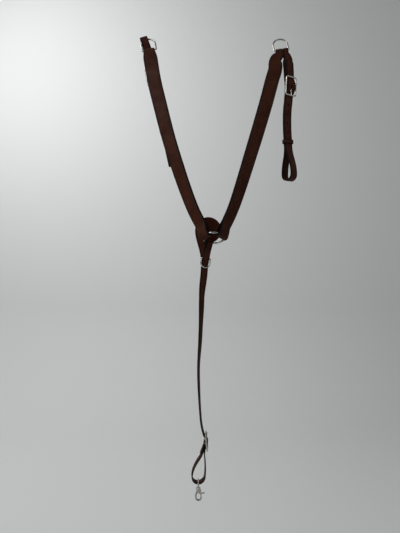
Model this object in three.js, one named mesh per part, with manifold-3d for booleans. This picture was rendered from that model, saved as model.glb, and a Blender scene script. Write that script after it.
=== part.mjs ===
// A western breast collar hung by its two shoulder dees: millimetres, +Z up, front toward -Y.
// The origin lies on the wall plane, midway between the two pegs that the dees hang on.
import * as THREE from 'three';
import { mergeVertices } from 'three/addons/utils/BufferGeometryUtils.js';
import Module from 'manifold-3d';

const wasm = await Module();
wasm.setup();

// Driving dimensions
const GAP = 0.3; // clearance between pieces that touch
const LEATHER = 2.8; // thickness of one layer of strap leather
const LINING = 2.4;
const SHOULDER_WIDTH = 38;
const TUG_WIDTH = 25;
const GIRTH_WIDTH = 20;

const RING_RADIUS = 29.5; // to the centre of the wire
const RING_WIRE = 2.5; // radius of the wire
const RING_TILT = 66; // degrees that the ring's top leans out from the wall
const RING_AT = new THREE.Vector3(-4.6, -41, -532.6);
const GIRTH_ON_RING = 247; // degrees round the ring

const DEE_WIRE = 2;
const DEE_HALF = 19.3; // half the length of the straight bar, and the radius of the arc
const DEE_LEG = 19.7;
const DEE_CORNER = 2.2;
const DEE_LEAN = 18; // degrees that the arc leans back to the wall
const BAR_Y = -26;

const BUCKLE_WIRE = 1.9;
const BUCKLE_BAR = 1.6; // radius of the centre bar
const BUCKLE_DROP = 3.7; // the centre bar sits this far behind the frame
const FRAME_AT = 3.6; // the frame's plane in front of its strap's spine
const TONGUE_WIRE = 1.2;

// Materials
const leather = (color) => new THREE.MeshStandardMaterial({ color, roughness: 0.55, metalness: 0 });
const metal = (color) => new THREE.MeshStandardMaterial({ color, roughness: 0.25, metalness: 1 });
const STRAP_BROWN = 0x3a1f14;
const SAFE_BROWN = 0x47180f;
const LINING_BROWN = 0x24130d;
const NICKEL = 0xb9babb;

const model = new THREE.Group();
const radians = THREE.MathUtils.degToRad;
const V = (x, y, z) => new THREE.Vector3(x, y, z);

function add(name, geometry, material) {
  const mesh = new THREE.Mesh(geometry, material);
  mesh.name = name;
  model.add(mesh);
  return mesh;
}

// Turns a mesh so that its own X and Y lie along x and y, and puts its origin at a point.
function place(mesh, point, x, y) {
  const basis = new THREE.Matrix4().makeBasis(x, y, x.clone().cross(y));
  mesh.quaternion.setFromRotationMatrix(basis);
  mesh.position.copy(point);
  return mesh;
}

// Booleans

function solid(geometry) {
  const bare = geometry.clone();
  bare.deleteAttribute('normal');
  if (bare.attributes.uv) bare.deleteAttribute('uv');
  const merged = mergeVertices(bare, 1e-4);
  return new wasm.Manifold(new wasm.Mesh({
    numProp: 3,
    vertProperties: new Float32Array(merged.attributes.position.array),
    triVerts: new Uint32Array(merged.index.array),
  }));
}

function toGeometry(manifold) {
  const mesh = manifold.getMesh();
  const geometry = new THREE.BufferGeometry();
  geometry.setAttribute('position', new THREE.BufferAttribute(mesh.vertProperties, 3));
  geometry.setIndex(new THREE.BufferAttribute(mesh.triVerts, 1));
  geometry.computeVertexNormals();
  return geometry;
}

const join = (...parts) => toGeometry(parts.map(solid).reduce((a, b) => a.add(b)));
const cut = (body, ...tools) => toGeometry(tools.map(solid).reduce((a, b) => a.subtract(b), solid(body)));

// Flat outlines: points by lines and arcs in a plane

function arc(cx, cy, radius, from, to, steps) {
  const points = [];
  for (let i = 0; i <= steps; i++) {
    const a = radians(from + ((to - from) * i) / steps);
    points.push([cx + radius * Math.cos(a), cy + radius * Math.sin(a)]);
  }
  return points;
}

function bend(p0, p1, p2, p3, steps) {
  const curve = new THREE.CubicBezierCurve(
    ...[p0, p1, p2, p3].map((p) => new THREE.Vector2(...p)));
  return curve.getPoints(steps).map((p) => [p.x, p.y]);
}

// Wire of round section along points; a closed loop joins its last point to its first.
// side is the direction that the section's first axis keeps close to.
function wire(points, radius, sides, closed, side) {
  const count = points.length;
  const position = [];
  const index = [];
  points.forEach((p, i) => {
    const before = points[closed ? (i + count - 1) % count : Math.max(i - 1, 0)];
    const after = points[closed ? (i + 1) % count : Math.min(i + 1, count - 1)];
    const along = after.clone().sub(before).normalize();
    const across = side.clone().addScaledVector(along, -side.dot(along)).normalize();
    const up = along.clone().cross(across);
    for (let k = 0; k < sides; k++) {
      const a = (2 * Math.PI * k) / sides;
      const v = p.clone()
        .addScaledVector(across, radius * Math.cos(a))
        .addScaledVector(up, radius * Math.sin(a));
      position.push(v.x, v.y, v.z);
    }
  });
  const last = closed ? count : count - 1;
  for (let i = 0; i < last; i++) {
    const here = i * sides;
    const next = ((i + 1) % count) * sides;
    for (let k = 0; k < sides; k++) {
      const l = (k + 1) % sides;
      index.push(here + k, here + l, next + k, here + l, next + l, next + k);
    }
  }
  if (!closed) {
    for (let k = 1; k < sides - 1; k++) {
      index.push(0, k + 1, k);
      index.push((count - 1) * sides, (count - 1) * sides + k, (count - 1) * sides + k + 1);
    }
  }
  const geometry = new THREE.BufferGeometry();
  geometry.setAttribute('position', new THREE.Float32BufferAttribute(position, 3));
  geometry.setIndex(index);
  geometry.computeVertexNormals();
  return geometry;
}

const flat = (points) => points.map(([x, y]) => V(x, y, 0));

// Straps

// The line that a strap follows, with the direction of its width at each point of it.
class Spine {
  constructor(points, widthAt) {
    this.curve = new THREE.CatmullRomCurve3(points, false, 'centripetal');
    this.curve.arcLengthDivisions = 400;
    this.length = this.curve.getLength();
    this.widthAt = widthAt;
  }

  // Where a place s along and h in front of the line is, with its directions along, width and front.
  at(s, h = 0) {
    const u = Math.min(Math.max(s / this.length, 0), 1);
    const along = this.curve.getTangentAt(u);
    const width = this.widthAt(Math.min(Math.max(s, 0), this.length));
    width.addScaledVector(along, -width.dot(along)).normalize();
    const front = along.clone().cross(width);
    const point = this.curve.getPointAt(u)
      .addScaledVector(along, s - u * this.length)
      .addScaledVector(front, h);
    return { point, along, width, front };
  }
}

// The width direction turns from angle to angle between the given places along the strap.
// An angle is measured from +X toward the wall.
function turning(stops) {
  return (s) => {
    let i = 1;
    while (i < stops.length - 1 && s > stops[i][0]) i++;
    const [s0, a0] = stops[i - 1];
    const [s1, a1] = stops[i];
    const a = THREE.MathUtils.lerp(a0, a1, THREE.MathUtils.smoothstep(s, s0, s1));
    return V(Math.cos(radians(a)), Math.sin(radians(a)), 0);
  };
}

function lengthsOf(path) {
  const lengths = [0];
  for (let i = 1; i < path.length; i++) {
    lengths.push(lengths[i - 1] + Math.hypot(path[i][0] - path[i - 1][0], path[i][1] - path[i - 1][1]));
  }
  return lengths;
}

function pointAlong(path, lengths, d) {
  let i = 1;
  while (i < path.length - 1 && lengths[i] < d) i++;
  const k = (d - lengths[i - 1]) / (lengths[i] - lengths[i - 1]);
  return [0, 1].map((c) => path[i - 1][c] + k * (path[i][c] - path[i - 1][c]));
}

// Joins sections of four corners each, back left, back right, front right and front left, into a solid.
function ribbonGeometry(position) {
  const index = [];
  const end = position.length / 3 - 4;
  for (let a = 0; a < end; a += 4) {
    for (let k = 0; k < 4; k++) {
      const l = (k + 1) % 4;
      // the front is split along the same diagonal as the back, so twisted layers stay parallel
      if (k === 2) index.push(a + k, a + l, a + l + 4, a + k, a + l + 4, a + k + 4);
      else index.push(a + k, a + l, a + k + 4, a + l, a + l + 4, a + k + 4);
    }
  }
  index.push(0, 2, 1, 0, 3, 2, end, end + 1, end + 2, end, end + 2, end + 3);
  const geometry = new THREE.BufferGeometry();
  geometry.setAttribute('position', new THREE.Float32BufferAttribute(position, 3));
  geometry.setIndex(index);
  geometry.computeVertexNormals();
  return geometry;
}

// A strap of rectangular section: its path is drawn in (s, h), along and in front of the spine.
// round lists which ends are rounded: the first, the last or both.
function strap(spine, path, width, thickness, round = []) {
  const lengths = lengthsOf(path);
  const total = lengths[lengths.length - 1];
  const cap = (s) => width(s) * 0.45;
  const first = round.includes('first') ? cap(path[0][0]) : 0;
  const last = round.includes('last') ? cap(path[path.length - 1][0]) : 0;
  const places = [];
  const corner = [0.03, 0.13, 0.3, 0.6, 1];
  if (first) corner.forEach((c) => places.push([c * first, c]));
  lengths.forEach((d) => {
    if (d >= first + (first ? 1 : 0) && d <= total - last - (last ? 1 : 0)) places.push([d, 1]);
  });
  if (last) [...corner].reverse().forEach((c) => places.push([total - c * last, c]));
  const position = [];
  places.forEach(([d, c]) => {
    const here = pointAlong(path, lengths, d);
    const before = pointAlong(path, lengths, Math.max(d - 0.5, 0));
    const after = pointAlong(path, lengths, Math.min(d + 0.5, total));
    const run = new THREE.Vector2(after[0] - before[0], after[1] - before[1]).normalize();
    const frame = spine.at(here[0], here[1]);
    const out = frame.front.clone().multiplyScalar(run.x).addScaledVector(frame.along, -run.y);
    const half = (width(here[0]) / 2) * Math.sqrt(1 - (1 - c) ** 2);
    for (const [a, b] of [[-1, -1], [1, -1], [1, 1], [-1, 1]]) {
      const v = frame.point.clone()
        .addScaledVector(frame.width, a * half)
        .addScaledVector(out, (b * thickness) / 2);
      position.push(v.x, v.y, v.z);
    }
  });
  return ribbonGeometry(position);
}

const evenly = (from, to, h0, h1, steps) => Array.from({ length: steps + 1 }, (_, i) => [
  from + ((to - from) * i) / steps, THREE.MathUtils.lerp(h0, h1, i / steps)]);

// A box laid in a strap's frame, for cutting holes through it.
function boxAt(spine, s, h, across, along, through) {
  const frame = spine.at(s, h);
  const basis = new THREE.Matrix4().makeBasis(
    frame.width, frame.along.clone().negate(), frame.front);
  return new THREE.BoxGeometry(across, along, through)
    .applyMatrix4(basis.setPosition(frame.point));
}

// Hardware

// A dee: bar along X through its own origin, arc toward +Y.
function deeShape(half, leg, corner, wireRadius, steps, sides) {
  const outline = [
    ...arc(half - corner, corner, corner, -90, 0, 4),
    ...arc(0, leg, half, 0, 180, steps),
    ...arc(corner - half, corner, corner, 180, 270, 4),
  ];
  return wire(flat(outline), wireRadius, sides, true, V(0, 0, 1));
}

// A buckle frame: width along X, length along Y, front toward +Z, its centre bar set back.
function frameShape(halfWidth, halfLength) {
  const corner = 4;
  const outline = [
    ...arc(halfWidth - corner, halfLength - corner, corner, 0, 90, 4),
    ...arc(corner - halfWidth, halfLength - corner, corner, 90, 180, 4),
    ...arc(corner - halfWidth, corner - halfLength, corner, 180, 270, 4),
    ...arc(halfWidth - corner, corner - halfLength, corner, 270, 360, 4),
  ];
  const reach = halfWidth;
  const bar = [
    V(-reach, 0, 0), V(-reach + 0.6, 0, -BUCKLE_DROP * 0.7), V(-reach + 1.9, 0, -BUCKLE_DROP),
    V(reach - 1.9, 0, -BUCKLE_DROP), V(reach - 0.6, 0, -BUCKLE_DROP * 0.7), V(reach, 0, 0)];
  return join(
    wire(flat(outline), BUCKLE_WIRE, 8, true, V(0, 0, 1)),
    wire(bar, BUCKLE_BAR, 8, false, V(0, 1, 0)));
}

// A tongue in the frame's own axes: an eye round the centre bar, then a straight wire to the far bar.
function tongueShape(halfLength, direction) {
  const eye = BUCKLE_BAR + GAP + TONGUE_WIRE;
  const tip = [halfLength + 2.5, BUCKLE_WIRE + GAP + TONGUE_WIRE];
  const points = [...arc(0, -BUCKLE_DROP, eye, -215, 62, 12), tip]
    .map(([y, z]) => V(0, direction * y, z));
  return wire(points, TONGUE_WIRE, 6, false, V(1, 0, 0));
}

// A leather keeper: a band round a flat strap, its section in X and Y, its height along Z.
function keeperShape(width, depth, height, thickness) {
  const ring = (x, y, r) => {
    const shape = new THREE.Shape();
    shape.absarc(x - r, y - r, r, 0, Math.PI / 2);
    shape.absarc(r - x, y - r, r, Math.PI / 2, Math.PI);
    shape.absarc(r - x, r - y, r, Math.PI, 1.5 * Math.PI);
    shape.absarc(x - r, r - y, r, 1.5 * Math.PI, 2 * Math.PI);
    return shape;
  };
  const outer = ring(width / 2 + thickness, depth / 2 + thickness, 3);
  outer.holes.push(ring(width / 2, depth / 2, 0.8));
  const options = { depth: height, bevelEnabled: false, curveSegments: 3 };
  return new THREE.ExtrudeGeometry(outer, options).translate(0, 0, -height / 2);
}

// The end of a spine at a fold: the fold's middle, and a point square to the wire on the way to next.
function squareTo({ point, tangent }, next) {
  const away = next.clone().sub(point);
  away.addScaledVector(tangent, -away.dot(tangent)).normalize();
  return [point, point.clone().addScaledVector(away, 12)];
}

// Centre ring

const ringX = V(1, 0, 0);
const ringY = V(0, -Math.sin(radians(RING_TILT)), Math.cos(radians(RING_TILT)));

// How far the ring's wire curves away from a straight fold of this width.
const sagOf = (foldWidth) => foldWidth ** 2 / (8 * RING_RADIUS);

// The middle of a fold round the ring's wire, and the wire's direction there.
function onRing(angle, foldWidth) {
  const a = radians(angle);
  const reach = RING_RADIUS - sagOf(foldWidth) / 2;
  return {
    point: RING_AT.clone()
      .addScaledVector(ringX, reach * Math.cos(a))
      .addScaledVector(ringY, reach * Math.sin(a)),
    tangent: ringX.clone().multiplyScalar(-Math.sin(a)).addScaledVector(ringY, Math.cos(a)),
  };
}

// How far a strap's middle stands off the ring's wire where it folds round it.
function ringFoldRadius(foldWidth) {
  return RING_WIRE + sagOf(foldWidth) / 2 + 4.6 * GAP + LEATHER / 2;
}

place(
  add('centre_ring', new THREE.TorusGeometry(RING_RADIUS, RING_WIRE, 10, 44), metal(NICKEL)),
  RING_AT, ringX, ringY);

// Shoulder dees

function deeAxes(roll) {
  const x = V(Math.cos(radians(roll)), 0, Math.sin(radians(roll)));
  const up = V(-Math.sin(radians(roll)), 0, Math.cos(radians(roll)));
  const y = up.multiplyScalar(Math.cos(radians(DEE_LEAN)))
    .addScaledVector(V(0, 1, 0), Math.sin(radians(DEE_LEAN)));
  return { x, y };
}

const DEES = {
  left: { bar: V(-176.5, BAR_Y, -27.5), ...deeAxes(9) },
  right: { bar: V(179.6, BAR_Y, -28), ...deeAxes(8) },
};

for (const [side, dee] of Object.entries(DEES)) {
  const shape = deeShape(DEE_HALF, DEE_LEG, DEE_CORNER, DEE_WIRE, 18, 10);
  place(add(`${side}_dee`, shape, metal(NICKEL)), dee.bar, dee.x, dee.y);
}

// Shoulder straps: a face that folds round the dee and the ring, and a lining between the fold ends

const SHOULDERS = {
  left: {
    offset: 0,
    foldWidth: 27.5,
    widens: [-8, 24],
    ringAngle: 142,
    lean: 1,
    through: [
      V(-163, -27.6, -108), V(-150, -29, -163), V(-122, -34, -271), V(-96.5, -38, -352), V(-78, -41, -406),
      V(-57.5, -45, -459)],
  },
  right: {
    offset: -7.5,
    foldWidth: 17.5,
    widens: [0, 46],
    ringAngle: 38,
    lean: -1,
    through: [
      V(163.3, -26, -52), V(162.3, -26.3, -77), V(153.4, -27, -108), V(138.8, -29, -163), V(115, -33, -244),
      V(98.5, -35, -298), V(64.7, -41, -406), V(46, -45, -459)],
  },
};
const RING_FOLD_WIDTH = 36;
const FOLD_END = 52; // how far from the dee or the ring the folded-back end reaches

function shoulder(side, { offset, foldWidth, widens, ringAngle, lean, through }) {
  const dee = DEES[side];
  const start = dee.bar.clone().addScaledVector(dee.x, offset);
  const ring = onRing(ringAngle, RING_FOLD_WIDTH);
  // the strap leaves the dee square to its bar
  const square = V(dee.x.z, 0, -dee.x.x);
  const points = [start, start.clone().addScaledVector(square, 12), ...through];
  points.push(...squareTo(ring, points[points.length - 1]).reverse());
  const ringWidth = ring.tangent.clone().multiplyScalar(Math.sign(ring.tangent.x));
  const nearDee = V(Math.cos(radians(12)), -lean * Math.sin(radians(12)), 0);
  const spine = new Spine(points, (s) => {
    const settle = THREE.MathUtils.smoothstep(s, 5, 70);
    const u = THREE.MathUtils.clamp((s - 60) / (ring.point.distanceTo(start) - 75), 0, 1);
    return dee.x.clone().lerp(nearDee, settle).lerp(ringWidth, u ** 1.3);
  });
  const total = spine.length;
  const deeFold = DEE_WIRE + GAP + LEATHER / 2;
  const ringFold = ringFoldRadius(RING_FOLD_WIDTH);
  const front = LEATHER / 2 + GAP / 2;
  const back = -LINING / 2 - GAP / 2;
  const path = [
    [FOLD_END, back - 0.2],
    [FOLD_END * 0.6, back - 0.3],
    [12, -deeFold * 0.85],
    ...arc(0, 0, deeFold, -75, -285, 10),
    [12, deeFold * 0.8],
    [19, deeFold * 0.6],
    [26, front],
    [33, front],
    [40, front],
    [FOLD_END + 2, front],
    ...evenly(60, total - 60, front, front, 16),
    [total - FOLD_END - 2, front],
    [total - 40, front],
    [total - 28, front],
    [total - 13, ringFold * 0.8],
    ...arc(total, 0, ringFold, 105, -105, 10),
    [total - 13, -ringFold * 0.85],
    [total - FOLD_END * 0.6, back - 0.3],
    [total - FOLD_END, back - 0.2],
  ];
  const width = (s) => {
    const nearRing = THREE.MathUtils.smoothstep(total - s, 8, 45);
    const nearDeeEnd = THREE.MathUtils.smoothstep(s, ...widens);
    const atRing = RING_FOLD_WIDTH + (SHOULDER_WIDTH - RING_FOLD_WIDTH) * nearRing;
    return foldWidth + (atRing - foldWidth) * (s < total / 2 ? nearDeeEnd : 1);
  };
  add(`${side}_shoulder_strap`, strap(spine, path, width, LEATHER), leather(STRAP_BROWN));
  const liningPath = [
    [FOLD_END + 2, back], ...evenly(60, total - 60, back, back, 16), [total - FOLD_END - 2, back]];
  add(`${side}_shoulder_lining`, strap(spine, liningPath, width, LINING), leather(LINING_BROWN));
  return spine;
}

for (const [side, values] of Object.entries(SHOULDERS)) shoulder(side, values);

// Tugs: one strap that folds round the buckle's centre bar, goes up and over the dee, down the back,
// round the loop at the bottom and up the front again through the keeper and the buckle.

const TUG_BUCKLE = 100; // from the dee's wire to the centre bar
const TUG_KEEPER = 249;
const TUG_FRAME = { halfWidth: 15.6, halfLength: 24.5 };

function tugPath(top, loop, length) {
  const t = LEATHER;
  const step = t + GAP; // from one layer to the next
  const barAt = FRAME_AT - BUCKLE_DROP;
  const wrap = BUCKLE_BAR + GAP + t / 2;
  const under = FRAME_AT - BUCKLE_WIRE - GAP - t / 2; // the billet behind the frame's end bars
  const over = barAt + wrap + step; // the billet over the chape and the centre bar
  const topBar = TUG_BUCKLE - TUG_FRAME.halfLength;
  const lowBar = TUG_BUCKLE + TUG_FRAME.halfLength;
  const bottom = length - loop.radius;
  const layer = t / 2 + GAP / 2;
  const chape = under - step; // the chape's front layer behind the top bar
  return [
    [44, chape - step + 1.6],
    [topBar - 6, chape - step + 0.1],
    [topBar + 3, chape - step],
    [TUG_BUCKLE - 10, chape - step + 1.2],
    ...arc(TUG_BUCKLE, barAt, wrap, -100, 100, 8),
    [TUG_BUCKLE - 10, barAt + wrap - 2.7],
    [topBar + 3, chape + 0.1],
    [topBar - 6, chape + 0.1],
    [44, chape + 2.6],
    [22, top.radius * 0.5],
    [4 + top.length, top.radius],
    ...arc(-top.length, 0, top.radius, 90, 270, 10),
    [4 + top.length, -top.radius],
    [22, chape - step - 0.9],
    [44, chape - 2 * step + 0.9],
    [topBar - 6, chape - 2 * step - 0.2],
    [topBar + 3, chape - 2 * step - 0.2],
    [TUG_BUCKLE, barAt - wrap - step - 0.4],
    [lowBar, under - step - 0.5],
    [lowBar + 18, -layer],
    ...evenly(165, loop.start, -layer, -layer, 4),
    ...bend([loop.start + 6, -layer], [loop.start + 30, -layer],
      [bottom - 34, -loop.radius], [bottom, -loop.radius], 8),
    ...arc(bottom, 0, loop.radius, -75, 75, 10),
    ...bend([bottom, loop.radius], [bottom - 34, loop.radius],
      [loop.start + 30, layer], [loop.start + 6, layer], 8),
    ...evenly(loop.start, 165, layer, layer, 4),
    [lowBar + 18, layer],
    [lowBar + 4, under + 0.2],
    [lowBar - 4, under + 0.2],
    [TUG_BUCKLE + 8, over - 1.2],
    [TUG_BUCKLE, over],
    [TUG_BUCKLE - 8, over - 1.2],
    [topBar + 4, under + 0.1],
    [topBar - 4, under + 0.1],
    [46, chape + step + 2.8],
    [30, chape + step + 4.7],
  ];
}

function buckle(prefix, spine, s, { halfWidth, halfLength }, direction) {
  const frame = spine.at(s, FRAME_AT);
  const up = frame.along.clone().negate();
  place(add(`${prefix}_buckle_frame`, frameShape(halfWidth, halfLength), metal(NICKEL)),
    frame.point, frame.width, up);
  place(add(`${prefix}_buckle_tongue`, tongueShape(halfLength, direction), metal(NICKEL)),
    frame.point, frame.width, up);
}

// Slots for the tongue, through the chape's fold and through the billet beside the centre bar.
function tongueSlots(spine, s, direction) {
  const barAt = FRAME_AT - BUCKLE_DROP;
  return [
    boxAt(spine, s, barAt, 4, 9.6, 9.6),
    boxAt(spine, s - direction * 8.5, barAt + 6, 4, 20, 14),
  ];
}

const rightTugStart = DEES.right.bar.clone().addScaledVector(DEES.right.x, 9.7);

// Where the left tug crosses the arc of its dee.
function leftTugStart() {
  const a = radians(117);
  return DEES.left.bar.clone()
    .addScaledVector(DEES.left.x, DEE_HALF * Math.cos(a))
    .addScaledVector(DEES.left.y, DEE_LEG + DEE_HALF * Math.sin(a))
    .add(V(0.2, -0.4, -1.8));
}

const TUGS = {
  left: {
    length: 347, // from the dee's wire to the loop's bottom
    top: { radius: 5.6, length: 4.5, width: 20 },
    loop: { radius: 8, start: 282 },
    points: [
      leftTugStart(), V(-186.2, -15.4, -8), V(-182.2, -14.4, -24), V(-175.2, -13.1, -66),
      V(-154, -12.6, -160), V(-131.8, -12.6, -250), V(-110, -12.6, -345)],
    startWidth: V(0.952, 0.1, 0.305),
    turns: turning([[0, 3], [60, 3], [400, 3]]),
  },
  right: {
    length: 353,
    top: { radius: DEE_WIRE + GAP + LEATHER / 2, length: 0, width: 14.2 },
    loop: { radius: 15.5, start: 254 },
    points: [
      rightTugStart, rightTugStart.clone().add(V(1.7, 0, -11.9)),
      V(194.8, BAR_Y, -46), V(198.8, BAR_Y, -68), V(201.8, BAR_Y, -98), V(202.3, BAR_Y, -126),
      V(197.5, BAR_Y, -162), V(194.5, BAR_Y, -190), V(194, BAR_Y, -235), V(196, BAR_Y, -275.5),
      V(198.5, BAR_Y, -320), V(200.5, BAR_Y, -380)],
    startWidth: DEES.right.x,
    turns: turning([[0, 0], [4, 0], [46, 24], [250, 24], [300, 36], [400, 36]]),
  },
};

function tug(side, { length, top, loop, points, startWidth, turns }) {
  const spine = new Spine(points, (s) => startWidth.clone()
    .lerp(turns(s), THREE.MathUtils.smoothstep(s, 2, 40)));
  const path = tugPath(top, loop, length);
  const width = (s) => top.width + (TUG_WIDTH - top.width) * THREE.MathUtils.smoothstep(s, 6, 34);
  const body = strap(spine, path, width, LEATHER, ['last']);
  const slotted = cut(body, ...tongueSlots(spine, TUG_BUCKLE, -1));
  add(`${side}_tug_strap`, slotted, leather(STRAP_BROWN));
  buckle(`${side}_tug`, spine, TUG_BUCKLE, TUG_FRAME, -1);
  const keeperAt = spine.at(TUG_KEEPER);
  const keeper = keeperShape(TUG_WIDTH + 1.2, 2 * LEATHER + 1.6, 10.8, 2.2);
  place(add(`${side}_tug_keeper`, keeper, leather(STRAP_BROWN)),
    keeperAt.point, keeperAt.width, keeperAt.front);
  return spine;
}

for (const [side, values] of Object.entries(TUGS)) tug(side, values);

// Girth strap: a tab folded round the ring holds the tie-down dee, and the main run goes down through
// its own buckle, round the loop that holds the snap and up to the buckle's centre bar.

const GIRTH_TIE = 43; // from the ring's wire to the tie-down dee's bar
const GIRTH_TAB = 66;
const GIRTH_FRAME = { halfWidth: 13.2, halfLength: 22 };
const GIRTH_LOOP = 17.6; // radius of the loop's bottom
const TIE_WIRE = 1.75;
const TIE_HALF = 12.7;
const TIE_LEG = 13;
const girthStart = onRing(GIRTH_ON_RING, GIRTH_WIDTH);

const girthPoints = [
  ...squareTo(girthStart, V(-20.5, -16, -568)), V(-20.7, -16, -568), V(-26, -15, -596), V(-29, -14.5, -632),
  V(-33.4, -14, -676), V(-35.5, -13.6, -744), V(-38.3, -13.5, -812), V(-42.4, -13.5, -882),
  V(-40.9, -13.5, -951), V(-36.5, -13.5, -1021), V(-34, -13.5, -1046), V(-30, -13.5, -1064),
  V(-25.6, -13.5, -1084), V(-28.5, -13.5, -1113), V(-39, -13.5, -1148), V(-44, -13.5, -1172),
  V(-44.7, -13.5, -1197.5)];
const girthTurns = turning([
  [0, 18], [50, 14], [90, 17], [160, 46], [240, 61], [360, 74], [480, 81], [540, 86], [590, 95], [700, 95]]);
const girthWidthStart = girthStart.tangent.clone().multiplyScalar(Math.sign(girthStart.tangent.x));
const girthSpine = new Spine(girthPoints, (s) => girthWidthStart.clone()
  .lerp(girthTurns(s), THREE.MathUtils.smoothstep(s, 4, 50)));

const GIRTH_BOTTOM = girthSpine.length - 3; // middle of the leather at the loop's bottom
const GIRTH_BUCKLE = GIRTH_BOTTOM - 114;

function girthPath() {
  const t = LEATHER;
  const step = t + GAP;
  const ringFold = ringFoldRadius(GIRTH_WIDTH);
  const layer = t / 2 + GAP / 2;
  const tieAt = TIE_WIRE + GAP;
  const hump = TIE_WIRE + GAP + t / 2;
  const barAt = FRAME_AT - BUCKLE_DROP;
  const wrap = BUCKLE_BAR + GAP + t / 2;
  const under = FRAME_AT - BUCKLE_WIRE - GAP - t / 2;
  const over = barAt + wrap + step;
  const { halfLength } = GIRTH_FRAME;
  const centre = GIRTH_BOTTOM - GIRTH_LOOP;
  return [
    [GIRTH_TAB, layer + 0.1],
    [GIRTH_TIE + 9, layer + 0.2],
    ...arc(GIRTH_TIE, tieAt - 0.2, hump, 30, 150, 5),
    [GIRTH_TIE - 9, layer + 0.4],
    [18, layer + 1.2],
    ...arc(0, 0, ringFold, 80, 280, 10),
    [16, -layer - 0.8],
    [30, -layer - 0.1],
    [GIRTH_TIE, -layer - 0.1],
    ...evenly(60, GIRTH_BUCKLE - 60, -layer, -layer, 14),
    [GIRTH_BUCKLE - halfLength - 8, under],
    [GIRTH_BUCKLE - halfLength + 4, under + 0.2],
    [GIRTH_BUCKLE - 7, over - 1],
    [GIRTH_BUCKLE, over],
    [GIRTH_BUCKLE + 7, over - 1],
    [GIRTH_BUCKLE + halfLength - 4, under + 0.2],
    [GIRTH_BUCKLE + halfLength + 4, under + 0.3],
    ...bend([GIRTH_BUCKLE + halfLength + 12, under + 1], [GIRTH_BUCKLE + halfLength + 30, 9],
      [centre - 26, GIRTH_LOOP], [centre, GIRTH_LOOP], 8),
    ...arc(centre, 0, GIRTH_LOOP, 75, -75, 12),
    ...bend([centre, -GIRTH_LOOP], [centre - 26, -GIRTH_LOOP],
      [GIRTH_BUCKLE + halfLength + 30, -8], [GIRTH_BUCKLE + halfLength + 10, under - step - 1.6], 8),
    [GIRTH_BUCKLE + halfLength, under - step - 0.4],
    [GIRTH_BUCKLE + 18, under - step - 0.3],
    [GIRTH_BUCKLE + 14, barAt + wrap - 4.7],
    [GIRTH_BUCKLE + 9, barAt + wrap - 2.4],
    ...arc(GIRTH_BUCKLE, barAt, wrap, 80, 280, 8),
    [GIRTH_BUCKLE + 10, barAt - wrap - 0.4],
    [GIRTH_BUCKLE + 18, under - 2 * step - 0.4],
    [GIRTH_BUCKLE + halfLength, under - 2 * step - 0.8],
    [GIRTH_BUCKLE + halfLength + 14, under - 2 * step - 3.6],
  ];
}

const girthWidth = (s) => (s < GIRTH_TAB ? 19 : GIRTH_WIDTH);
const girthBody = strap(girthSpine, girthPath(), girthWidth, LEATHER, ['first', 'last']);
const slottedGirth = cut(girthBody, ...tongueSlots(girthSpine, GIRTH_BUCKLE, 1));
add('girth_strap', slottedGirth, leather(STRAP_BROWN));
buckle('girth', girthSpine, GIRTH_BUCKLE, GIRTH_FRAME, 1);

// The tie-down dee hangs from the tab with its arc down and tilted forward over the tab's end.
const TIE_TILT = 12;
const tieFrame = girthSpine.at(GIRTH_TIE, TIE_WIRE + GAP - 0.2);
const tieDown = tieFrame.along.clone().multiplyScalar(Math.cos(radians(TIE_TILT)))
  .addScaledVector(tieFrame.front, Math.sin(radians(TIE_TILT)));
place(add('tie_down_dee', deeShape(TIE_HALF, TIE_LEG, DEE_CORNER, TIE_WIRE, 14, 8), metal(NICKEL)),
  tieFrame.point, tieFrame.width.clone().negate(), tieDown);

// Ring safe: a leather paddle behind the ring that narrows to a neck behind the girth strap.

const SAFE_RADIUS = 36;
const SAFE_LENGTH = 130;
const SAFE_AT = V(-17.5, -3, -472.4); // top of the disc, in the middle of the leather
const SAFE_LEFT_TAPER = 15.3; // how far the left edge draws in from the disc to the neck
const SAFE_NECK_RIGHT = 12; // the neck's right edge, right of the disc's middle
const SAFE_RIGHT_TAPER = 12.5; // how far that edge draws in down to the neck's end
const SAFE_LIFT = 6; // how far the neck's end stands off the disc's plane
const SAFE_TURN = 0.25; // the slope across the neck where it follows the girth strap

// The safe's edges and how far it stands off its flat disc, at a depth below its top.
function safeAt(depth) {
  const disc = Math.sqrt(Math.max(SAFE_RADIUS ** 2 - (depth - SAFE_RADIUS) ** 2, 0));
  const { smoothstep } = THREE.MathUtils;
  const neckLeft = SAFE_LEFT_TAPER * smoothstep(depth, SAFE_RADIUS, 118) - SAFE_RADIUS;
  const neckRight = SAFE_NECK_RIGHT - SAFE_RIGHT_TAPER * smoothstep(depth, 60, SAFE_LENGTH);
  return {
    left: depth > SAFE_RADIUS ? neckLeft : -disc,
    right: depth > SAFE_RADIUS ? Math.max(disc, neckRight) : disc,
    lift: SAFE_LIFT * smoothstep(depth, 70, 122),
    turn: SAFE_TURN * smoothstep(depth, 90, 125),
  };
}

function safeShape() {
  const depths = [
    0.4, 2, 5, 9, 14, 20, 28, 36, 44, 50, 54, 57, 60, 64, 70, 78, 86, 94, 102, 110, 120, SAFE_LENGTH];
  const position = [];
  for (const depth of depths) {
    const { left, right, lift, turn } = safeAt(depth);
    const middle = (left + right) / 2;
    for (const [x, y] of [[left, 1], [right, 1], [right, -1], [left, -1]]) {
      const tilt = (x - middle) * turn;
      position.push(SAFE_AT.x + x, SAFE_AT.y - lift + tilt + (y * LEATHER) / 2, SAFE_AT.z - depth);
    }
  }
  return ribbonGeometry(position);
}

add('ring_safe', safeShape(), leather(SAFE_BROWN));

// Swivel snap at the loop's bottom. Its own axes: X to the right, Y up, Z toward the front, and its origin
// in the swivel's axis at the top of the barrel.

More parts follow.
